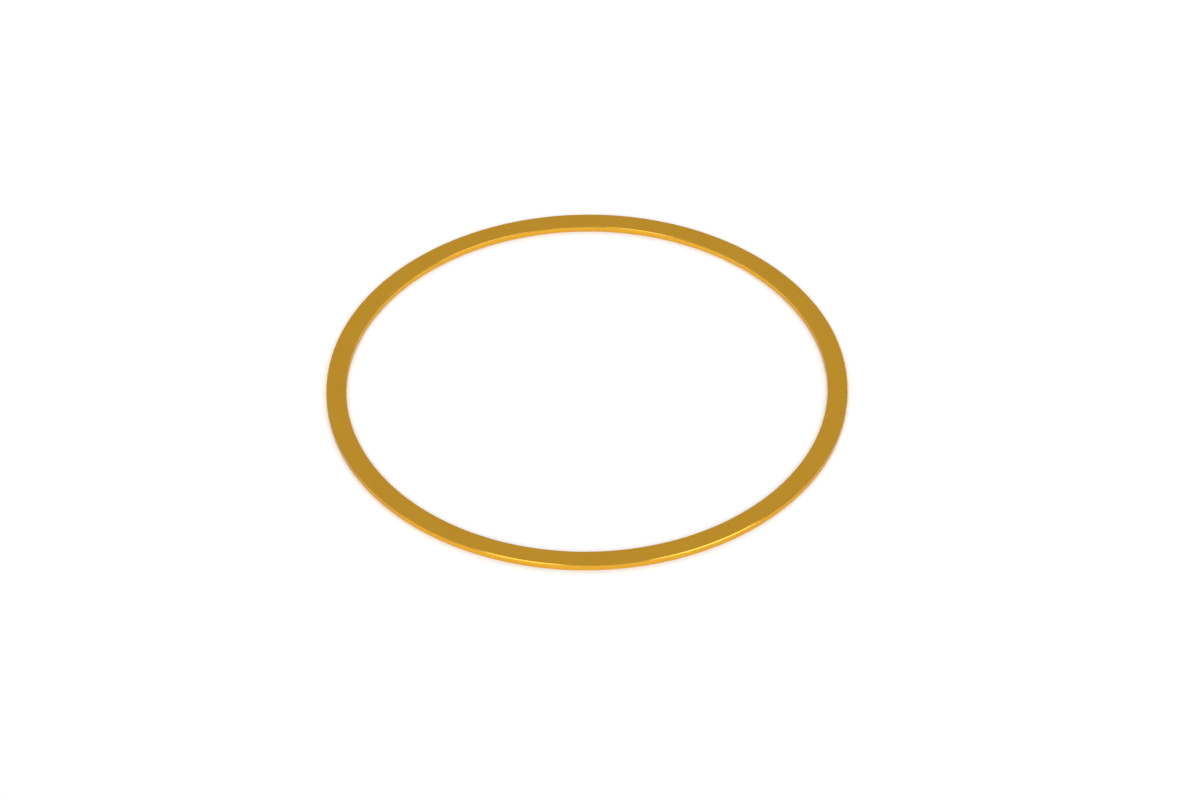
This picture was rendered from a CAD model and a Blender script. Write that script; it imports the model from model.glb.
import math

import bmesh
import bpy
from mathutils import Euler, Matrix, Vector


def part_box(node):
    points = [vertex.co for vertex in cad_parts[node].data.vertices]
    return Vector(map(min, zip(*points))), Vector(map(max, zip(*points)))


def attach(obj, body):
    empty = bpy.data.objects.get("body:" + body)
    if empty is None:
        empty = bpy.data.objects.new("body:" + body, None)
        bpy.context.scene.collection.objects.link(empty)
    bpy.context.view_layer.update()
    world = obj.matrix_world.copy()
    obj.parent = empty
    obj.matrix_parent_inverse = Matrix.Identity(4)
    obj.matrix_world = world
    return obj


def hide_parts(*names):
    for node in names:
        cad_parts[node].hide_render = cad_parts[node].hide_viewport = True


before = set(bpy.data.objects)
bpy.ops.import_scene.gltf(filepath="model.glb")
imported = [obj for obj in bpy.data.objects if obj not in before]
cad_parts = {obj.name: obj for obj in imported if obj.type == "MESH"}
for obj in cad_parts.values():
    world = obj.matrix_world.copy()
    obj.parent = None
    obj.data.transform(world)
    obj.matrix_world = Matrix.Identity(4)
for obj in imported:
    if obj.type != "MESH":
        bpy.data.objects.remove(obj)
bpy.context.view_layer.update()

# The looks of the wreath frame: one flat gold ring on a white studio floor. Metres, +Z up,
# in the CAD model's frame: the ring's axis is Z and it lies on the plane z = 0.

MM = 0.001
NODE = "flat_ring"
SLOT = "gold_anodised"
BODY = "root"


# The ring's own sizes, read from the CAD model

def ring_sizes():
    """The CAD ring's inner and outer radius, thickness, inner rounding and outer chamfer."""
    low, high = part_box(NODE)
    corners = [v.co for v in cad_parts[NODE].data.vertices]
    radii = [corner.xy.length for corner in corners]
    tolerance = 0.01 * MM
    top_radii = [r for r, corner in zip(radii, corners) if corner.z > high.z - tolerance]
    inner, outer = min(radii), max(radii)
    return inner, outer, high.z - low.z, min(top_radii) - inner, outer - max(top_radii)


INNER, OUTER, THICKNESS, ROUNDING, CHAMFER = ring_sizes()
MIDDLE = (INNER + OUTER) / 2


# The ring's mesh

STEPS_ROUND_RING = 720
SOFTENING = 0.08 * MM  # the radius where a chamfer meets a face or a wall
SOFTENING_STEPS = 3
ROUNDING_STEPS = 10
EDGE_WANDER = 0.05  # how far the edges' width varies round the ring, as a share
EDGE_WAVES = ((3, 0.7), (7, 2.1), (16, 0.0))  # each wave's count round the ring, and phase
EDGE_MARK = "edge"  # mesh attribute: 1 on the worked edges, 0 on the faces and walls


def rounded_corner(before, corner, after, radius, steps):
    """A corner of an outline as an arc: (share of the way, point, outward normal) each."""
    into = (corner - before).normalized()
    out_of = (after - corner).normalized()
    turn = into.angle(out_of)
    start = corner - into * radius * math.tan(turn / 2)
    centre = start - Vector((into.y, -into.x)) * radius
    first_angle = math.atan2(-into.x, into.y)
    arc = []
    for step in range(steps + 1):
        share = step / steps
        angle = first_angle + turn * share
        normal = Vector((math.cos(angle), math.sin(angle)))
        arc.append((share, centre + normal * radius, normal))
    return arc


def band_section(wander):
    """The band's section, anticlockwise: (radius, height) points, normals and edge marks."""
    chamfer, rounding = CHAMFER * wander, ROUNDING * wander
    outline = [  # each corner with its edge mark before and after it
        (Vector((INNER, 0)), None),
        (Vector((OUTER - chamfer, 0)), (0, 1)),
        (Vector((OUTER, chamfer)), (1, 0)),
        (Vector((OUTER, THICKNESS - chamfer)), (0, 1)),
        (Vector((OUTER - chamfer, THICKNESS)), (1, 0)),
        (Vector((INNER, THICKNESS)), None),
    ]
    section = []
    for index, (corner, marks) in enumerate(outline):
        before = outline[index - 1][0]
        after = outline[(index + 1) % len(outline)][0]
        radius, steps = (SOFTENING, SOFTENING_STEPS) if marks else (rounding, ROUNDING_STEPS)
        for share, point, normal in rounded_corner(before, corner, after, radius, steps):
            mark = marks[0] + (marks[1] - marks[0]) * share if marks else math.sin(math.pi * share)
            section.append((point, normal, mark))
    return section


def edge_wander(angle):
    """The worked edges' width at an angle round the ring, against their nominal width."""
    waves = sum(math.sin(count * angle + phase) for count, phase in EDGE_WAVES)
    return 1 + EDGE_WANDER * waves / len(EDGE_WAVES)


def make_ring():
    """The band turned round the axis, with true normals so that flats shade flat."""
    points, normals, marks, faces = [], [], [], []
    for step in range(STEPS_ROUND_RING):
        angle = math.tau * step / STEPS_ROUND_RING
        across, along = math.cos(angle), math.sin(angle)
        for point, normal, mark in band_section(edge_wander(angle)):
            points.append((point.x * across, point.x * along, point.y))
            normals.append((normal.x * across, normal.x * along, normal.y))
            marks.append(mark)
    around = len(points) // STEPS_ROUND_RING
    for step in range(STEPS_ROUND_RING):
        here = step * around
        there = (step + 1) % STEPS_ROUND_RING * around
        for spot in range(around):
            following = (spot + 1) % around
            faces.append((here + spot, there + spot, there + following, here + following))
    mesh = bpy.data.meshes.new("gold_ring")
    mesh.from_pydata(points, [], faces)
    mesh.polygons.foreach_set("use_smooth", [True] * len(faces))
    mesh.normals_split_custom_set_from_vertices(normals)
    mesh.attributes.new(EDGE_MARK, "FLOAT", "POINT").data.foreach_set("value", marks)
    ring = bpy.data.objects.new("gold_ring", mesh)
    bpy.context.scene.collection.objects.link(ring)
    return ring


# Shader helpers

def add_node(tree, kind, inputs=None, **settings):
    """A new node: settings are its properties, and inputs are values or sockets to link."""
    made = tree.nodes.new(kind)
    for name, value in settings.items():
        setattr(made, name, value)
    for key, value in (inputs or {}).items():
        if isinstance(value, bpy.types.NodeSocket):
            tree.links.new(value, made.inputs[key])
        else:
            made.inputs[key].default_value = value
    return made


def maths(tree, operation, first, second):
    """The output of a Math node."""
    inputs = {0: first, 1: second}
    return add_node(tree, "ShaderNodeMath", inputs, operation=operation).outputs[0]


def remap(tree, value, source, target):
    """A value moved smoothly from the source range to the target range, held at its ends."""
    inputs = {0: value, 1: source[0], 2: source[1], 3: target[0], 4: target[1]}
    made = add_node(tree, "ShaderNodeMapRange", inputs, interpolation_type="SMOOTHSTEP")
    return made.outputs[0]


def mix_colours(tree, share, first, second):
    """The first colour with a share of the second in it."""
    made = add_node(tree, "ShaderNodeMix", {0: share, 6: first, 7: second}, data_type="RGBA")
    return made.outputs[2]


# The metal: aluminium turned flat, dyed gold and sealed

GOLD_LIGHT = (0.85, 0.449, 0.028, 1)
GOLD_DEEP = (0.83, 0.429, 0.026, 1)
GOLD_THIN = (0.92, 0.62, 0.24, 1)  # the dyed layer worn thin, on the edges and in scratches
SHADE_NOISE = (0.35, 0.65)  # the noise that gives the deepest and the lightest gold
CLOUD_LENGTH = 28 * MM  # the dye's slow changes of shade

LAY_PITCH = 0.35 * MM  # the fine marks of turning, which run round the ring
LAY_LENGTH = 45 * MM
LAY_DEPTH = 0.003 * MM
LAY_SHADE = 0.25  # the marks' share in the changes of shade
LAY_ROUGHNESS = 0.03

WAVE_LENGTH = 14 * MM  # slow unevenness of the surface
WAVE_DEPTH = 0.02 * MM

SMUDGE_LENGTH = 60 * MM  # slow changes between smoother and rougher metal
SMUDGE_NOISE = (0.35, 0.7)
SMUDGE_ROUGHNESS = (0.22, 0.28)

SCRATCH_ANGLES = (20, 75, 140)  # in degrees; the pattern is moved on a step for each
SCRATCH_STEP = (0.37, 0.11, 0.23)
SCRATCH_WIDTH = 0.9 * MM
SCRATCH_LENGTH = 30 * MM
SCRATCH_NOISE = (0.73, 0.8)  # only the peaks of the noise are scratches
SCRATCH_PALENESS = 0.025
SCRATCH_ROUGHNESS = 0.03

WEAR_LENGTH = 9 * MM  # patches of wear along the edges
WEAR_NOISE = (0.3, 0.7)
WEAR_PALENESS = (0.05, 0.15)
EDGE_POLISH = 0.05  # how much less rough the edges are, from handling

METAL_FINISH = {
    "Metallic": 1.0,
    "Specular Tint": (0.6, 0.6, 0.6, 1),  # the dye looks deeper where it is seen at a slant
    "Anisotropic": 0.7,
    "Anisotropic Rotation": 0.25,  # a quarter turn, from round the ring to across the band
    "Coat Weight": 0.2,  # the clear oxide over the dye
    "Coat Roughness": 0.12,
    "Coat IOR": 1.6,
}


def noise(tree, where, length, detail):
    """Noise from 0 to 1 with features about length across."""
    inputs = {"Vector": where, "Scale": 1 / length, "Detail": detail}
    return add_node(tree, "ShaderNodeTexNoise", inputs).outputs[0]


def turning_lay(tree, position):
    """Fine streaks that follow the ring on its faces and its walls, from 0 to 1."""
    spot = add_node(tree, "ShaderNodeSeparateXYZ", {0: position}).outputs
    flat = add_node(tree, "ShaderNodeCombineXYZ", {0: spot["X"], 1: spot["Y"]}).outputs[0]
    length = add_node(tree, "ShaderNodeVectorMath", {0: flat}, operation="LENGTH")
    towards = add_node(tree, "ShaderNodeVectorMath", {0: flat}, operation="NORMALIZE")
    direction = add_node(tree, "ShaderNodeSeparateXYZ", {0: towards.outputs[0]}).outputs
    turns = MIDDLE / LAY_LENGTH
    where = add_node(tree, "ShaderNodeCombineXYZ", {
        0: maths(tree, "MULTIPLY", direction["X"], turns),
        1: maths(tree, "MULTIPLY", direction["Y"], turns),
        2: maths(tree, "DIVIDE", length.outputs["Value"], LAY_PITCH),
    })
    inputs = {
        "Vector": where.outputs[0],
        "W": maths(tree, "DIVIDE", spot["Z"], LAY_PITCH),
        "Scale": 1.0,
        "Detail": 3.0,
    }
    return add_node(tree, "ShaderNodeTexNoise", inputs, noise_dimensions="4D").outputs[0]


def hairlines(tree, position):
    """Sparse fine scratches from handling, in a few directions, from 0 to 1."""
    scratches = 0.0
    for index, angle in enumerate(SCRATCH_ANGLES):
        turned = add_node(tree, "ShaderNodeMapping", {
            "Vector": position,
            "Rotation": (0, 0, math.radians(angle)),
            "Location": tuple(step * index for step in SCRATCH_STEP),
        })
        stretched = add_node(tree, "ShaderNodeMapping", {
            "Vector": turned.outputs[0],
            "Scale": (1 / SCRATCH_LENGTH, 1 / SCRATCH_WIDTH, 1 / SCRATCH_WIDTH),
        })
        field = noise(tree, stretched.outputs[0], length=1.0, detail=0.0)
        lines = remap(tree, field, SCRATCH_NOISE, (0.0, 1.0))
        scratches = maths(tree, "MAXIMUM", scratches, lines)
    return scratches


def metal_colour(tree, position, lay, scratches, edge):
    """The dyed gold: clouds and turning marks in its shade, paler wear and scratches."""
    clouds = noise(tree, position, CLOUD_LENGTH, detail=3.0)
    cloud_part = maths(tree, "MULTIPLY", clouds, 1 - LAY_SHADE)
    lay_part = maths(tree, "MULTIPLY", lay, LAY_SHADE)
    shade = maths(tree, "ADD", cloud_part, lay_part)
    dyed = mix_colours(tree, remap(tree, shade, SHADE_NOISE, (0.0, 1.0)), GOLD_DEEP, GOLD_LIGHT)
    patches = noise(tree, position, WEAR_LENGTH, detail=3.0)
    wear = maths(tree, "MULTIPLY", edge, remap(tree, patches, WEAR_NOISE, WEAR_PALENESS))
    worn = mix_colours(tree, wear, dyed, GOLD_THIN)
    return mix_colours(tree, maths(tree, "MULTIPLY", scratches, SCRATCH_PALENESS), worn, GOLD_THIN)


def metal_roughness(tree, position, lay, scratches, edge):
    """Satin metal: smudges, turning marks and scratches are rougher, the edges smoother."""
    smudges = noise(tree, position, SMUDGE_LENGTH, detail=4.0)
    roughness = remap(tree, smudges, SMUDGE_NOISE, SMUDGE_ROUGHNESS)
    changes = ((lay, LAY_ROUGHNESS), (scratches, SCRATCH_ROUGHNESS), (edge, -EDGE_POLISH))
    for mask, amount in changes:
        roughness = maths(tree, "ADD", roughness, maths(tree, "MULTIPLY", mask, amount))
    return roughness


def metal_normal(tree, position, lay):
    """The surface's slow unevenness, with the turning marks on top of it."""
    waves = add_node(tree, "ShaderNodeBump", {
        "Height": noise(tree, position, WAVE_LENGTH, detail=2.0),
        "Distance": WAVE_DEPTH,
    })
    marks = add_node(tree, "ShaderNodeBump", {
        "Height": lay,
        "Distance": LAY_DEPTH,
        "Normal": waves.outputs[0],
    })
    return marks.outputs[0]


def gold_anodised():
    """Dyed anodised aluminium, turned, lightly handled and slightly worn on its edges."""
    material = bpy.data.materials.new(SLOT)
    material.use_nodes = True
    tree = material.node_tree
    shader = next(n for n in tree.nodes if n.type == "BSDF_PRINCIPLED")
    position = add_node(tree, "ShaderNodeTexCoord").outputs["Object"]
    edge = add_node(tree, "ShaderNodeAttribute", attribute_name=EDGE_MARK).outputs["Fac"]
    lay = turning_lay(tree, position)
    scratches = hairlines(tree, position)
    round_axis = add_node(tree, "ShaderNodeTangent", direction_type="RADIAL", axis="Z")
    links = {
        "Base Color": metal_colour(tree, position, lay, scratches, edge),
        "Roughness": metal_roughness(tree, position, lay, scratches, edge),
        "Normal": metal_normal(tree, position, lay),
        "Tangent": round_axis.outputs[0],
    }
    for socket, source in links.items():
        tree.links.new(source, shader.inputs[socket])
    for socket, value in METAL_FINISH.items():
        shader.inputs[socket].default_value = value
    return material


# The studio

FLOOR_SIZE = 40.0
FLOOR_GAP = 0.02 * MM  # between the floor and the ring's underside
FLOOR_WHITE = (0.92, 0.92, 0.92, 1)
FLOOR_GLOW = 0.08
BACKDROP_RADIUS = 16.0
BACKDROP_SEGMENTS = 48

# The room's brightness at each sine of the elevation, from the horizon to straight above.
ROOM_LIGHT = ((0.0, 0.44), (0.2, 0.46), (0.676, 0.605), (1.0, 0.56))

# Lights that turn the floor white, with a soft contact shadow, and that the metal doesn't
# mirror: azimuth (from +X towards +Y), elevation and apparent width in degrees, and strength
# in watts a square metre.
FLOOR_LIGHTS = {
    "overhead_fill": (0, 90, 105, 1.48),
    "front_fill": (-88, 35, 24, 1.2),
    "back_fill": (90, 52, 30, 0.55),
    "right_fill": (-38, 39, 30, 0.46),
    "left_fill": (-118, 40, 30, 0.52),
}

# Softboxes, which light the metal and not the floor: azimuth and elevation in degrees, width
# and height in metres, and brightness against 1 for white.
SOFTBOX_DISTANCE = 3.0
SOFTBOX_COLOUR = (0.95, 1.0, 1.05)
SOFTBOXES = {
    "softbox_right": (-39, 39, 2.05, 1.4, 1.88),
    "softbox_left": (-118, 40, 1.30, 3.4, 1.24),
}


def plain_material(name, colour, glow):
    """A matt white surface, or with glow a surface that shines evenly."""
    material = bpy.data.materials.new(name)
    material.use_nodes = True
    shader = next(n for n in material.node_tree.nodes if n.type == "BSDF_PRINCIPLED")
    shader.inputs["Base Color"].default_value = colour
    shader.inputs["Roughness"].default_value = 1.0
    shader.inputs["Specular IOR Level"].default_value = 0.0
    shader.inputs["Emission Color"].default_value = (1, 1, 1, 1)
    shader.inputs["Emission Strength"].default_value = glow
    return material


def studio_floor():
    """A plain pale floor just under the ring."""
    half = FLOOR_SIZE / 2
    mesh = bpy.data.meshes.new("floor")
    corners = [(-half, -half, 0), (half, -half, 0), (half, half, 0), (-half, half, 0)]
    mesh.from_pydata(corners, [], [(0, 1, 2, 3)])
    mesh.materials.append(plain_material("floor_white", FLOOR_WHITE, FLOOR_GLOW))
    floor = bpy.data.objects.new("floor", mesh)
    floor.location.z = -FLOOR_GAP
    bpy.context.scene.collection.objects.link(floor)


def studio_backdrop():
    """A white dome far behind everything, which only the camera sees."""
    mesh = bpy.data.meshes.new("backdrop")
    shape = bmesh.new()
    bmesh.ops.create_uvsphere(
        shape,
        u_segments=BACKDROP_SEGMENTS,
        v_segments=BACKDROP_SEGMENTS // 2,
        radius=BACKDROP_RADIUS,
    )
    shape.to_mesh(mesh)
    shape.free()
    mesh.materials.append(plain_material("backdrop_white", (0, 0, 0, 1), 1.0))
    backdrop = bpy.data.objects.new("backdrop", mesh)
    bpy.context.scene.collection.objects.link(backdrop)
    for kind in ("diffuse", "glossy", "transmission", "volume_scatter", "shadow"):
        setattr(backdrop, "visible_" + kind, False)


def studio_room():
    """The soft room that the metal mirrors and the floor doesn't take, brightest half way up."""
    world = bpy.data.worlds.new("studio")
    bpy.context.scene.world = world
    world.use_nodes = True
    world.cycles_visibility.diffuse = False
    tree = world.node_tree
    background = next(n for n in tree.nodes if n.type == "BACKGROUND")
    direction = add_node(tree, "ShaderNodeTexCoord").outputs["Generated"]
    height = add_node(tree, "ShaderNodeSeparateXYZ", {0: direction}).outputs["Z"]
    ramp = add_node(tree, "ShaderNodeValToRGB", {0: height})
    ramp.color_ramp.interpolation = "LINEAR"
    stops = ramp.color_ramp.elements
    while len(stops) < len(ROOM_LIGHT):
        stops.new(0.5)
    for stop, (place, brightness) in zip(stops, ROOM_LIGHT):
        stop.position = place
        stop.color = (brightness, brightness, brightness, 1)
    tree.links.new(ramp.outputs["Color"], background.inputs["Color"])


def aim(light, azimuth, elevation):
    """Turn a light to shine at the ring's centre, and return the direction it stands in."""
    side, up = math.radians(azimuth), math.radians(elevation)
    away = Vector((math.cos(side) * math.cos(up), math.sin(side) * math.cos(up), math.sin(up)))
    light.rotation_euler = away.to_track_quat("Z", "Y").to_euler()
    return away


def softbox(name, azimuth, elevation, width, height, brightness):
    """An oval softbox that faces the ring's centre: the metal's highlights mirror it."""
    data = bpy.data.lights.new(name, "AREA")
    data.shape = "ELLIPSE"
    data.size = width
    data.size_y = height
    data.color = SOFTBOX_COLOUR
    lit_area = math.pi / 4 * width * height
    data.energy = brightness * math.pi * lit_area
    light = bpy.data.objects.new(name, data)
    light.location = aim(light, azimuth, elevation) * SOFTBOX_DISTANCE
    light.visible_camera = False
    light.visible_diffuse = False
    bpy.context.scene.collection.objects.link(light)


def floor_light(name, azimuth, elevation, width, strength):
    """A broad far light that the metal doesn't mirror."""
    data = bpy.data.lights.new(name, "SUN")
    data.angle = math.radians(width)
    data.energy = strength
    light = bpy.data.objects.new(name, data)
    aim(light, azimuth, elevation)
    light.visible_glossy = False
    bpy.context.scene.collection.objects.link(light)


# The camera, at the photograph's viewing angle: it looks along +Y and down

ELEVATION = 42.5  # degrees, as the roll is
ROLL = -0.38
LENS_MM = 167.7
SENSOR_MM = 36.0
DISTANCE = 21.47  # these three are in outer radii of the ring
RIGHT_OF_CENTRE = 0.050
BELOW_CENTRE = 0.042


def photo_camera():
    """The scene's camera, set back along its own axis from a point just off the centre."""
    data = bpy.data.cameras.new("photo_camera")
    data.lens = LENS_MM
    data.sensor_width = SENSOR_MM
    camera = bpy.data.objects.new("photo_camera", data)
    tilt = Euler((math.radians(90 - ELEVATION), 0, 0)).to_matrix()
    turn = tilt @ Euler((0, 0, math.radians(ROLL))).to_matrix()
    place = Vector((RIGHT_OF_CENTRE, -BELOW_CENTRE, DISTANCE)) * OUTER
    camera.location = turn @ place
    camera.rotation_euler = turn.to_euler()
    bpy.context.scene.collection.objects.link(camera)
    bpy.context.scene.camera = camera


photo_camera()
studio_floor()
studio_backdrop()
studio_room()
for name, settings in SOFTBOXES.items():
    softbox(name, *settings)
for name, settings in FLOOR_LIGHTS.items():
    floor_light(name, *settings)
bpy.context.scene.view_settings.view_transform = "Standard"

ring = make_ring()
ring.data.materials.append(gold_anodised())
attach(ring, BODY)
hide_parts(NODE)
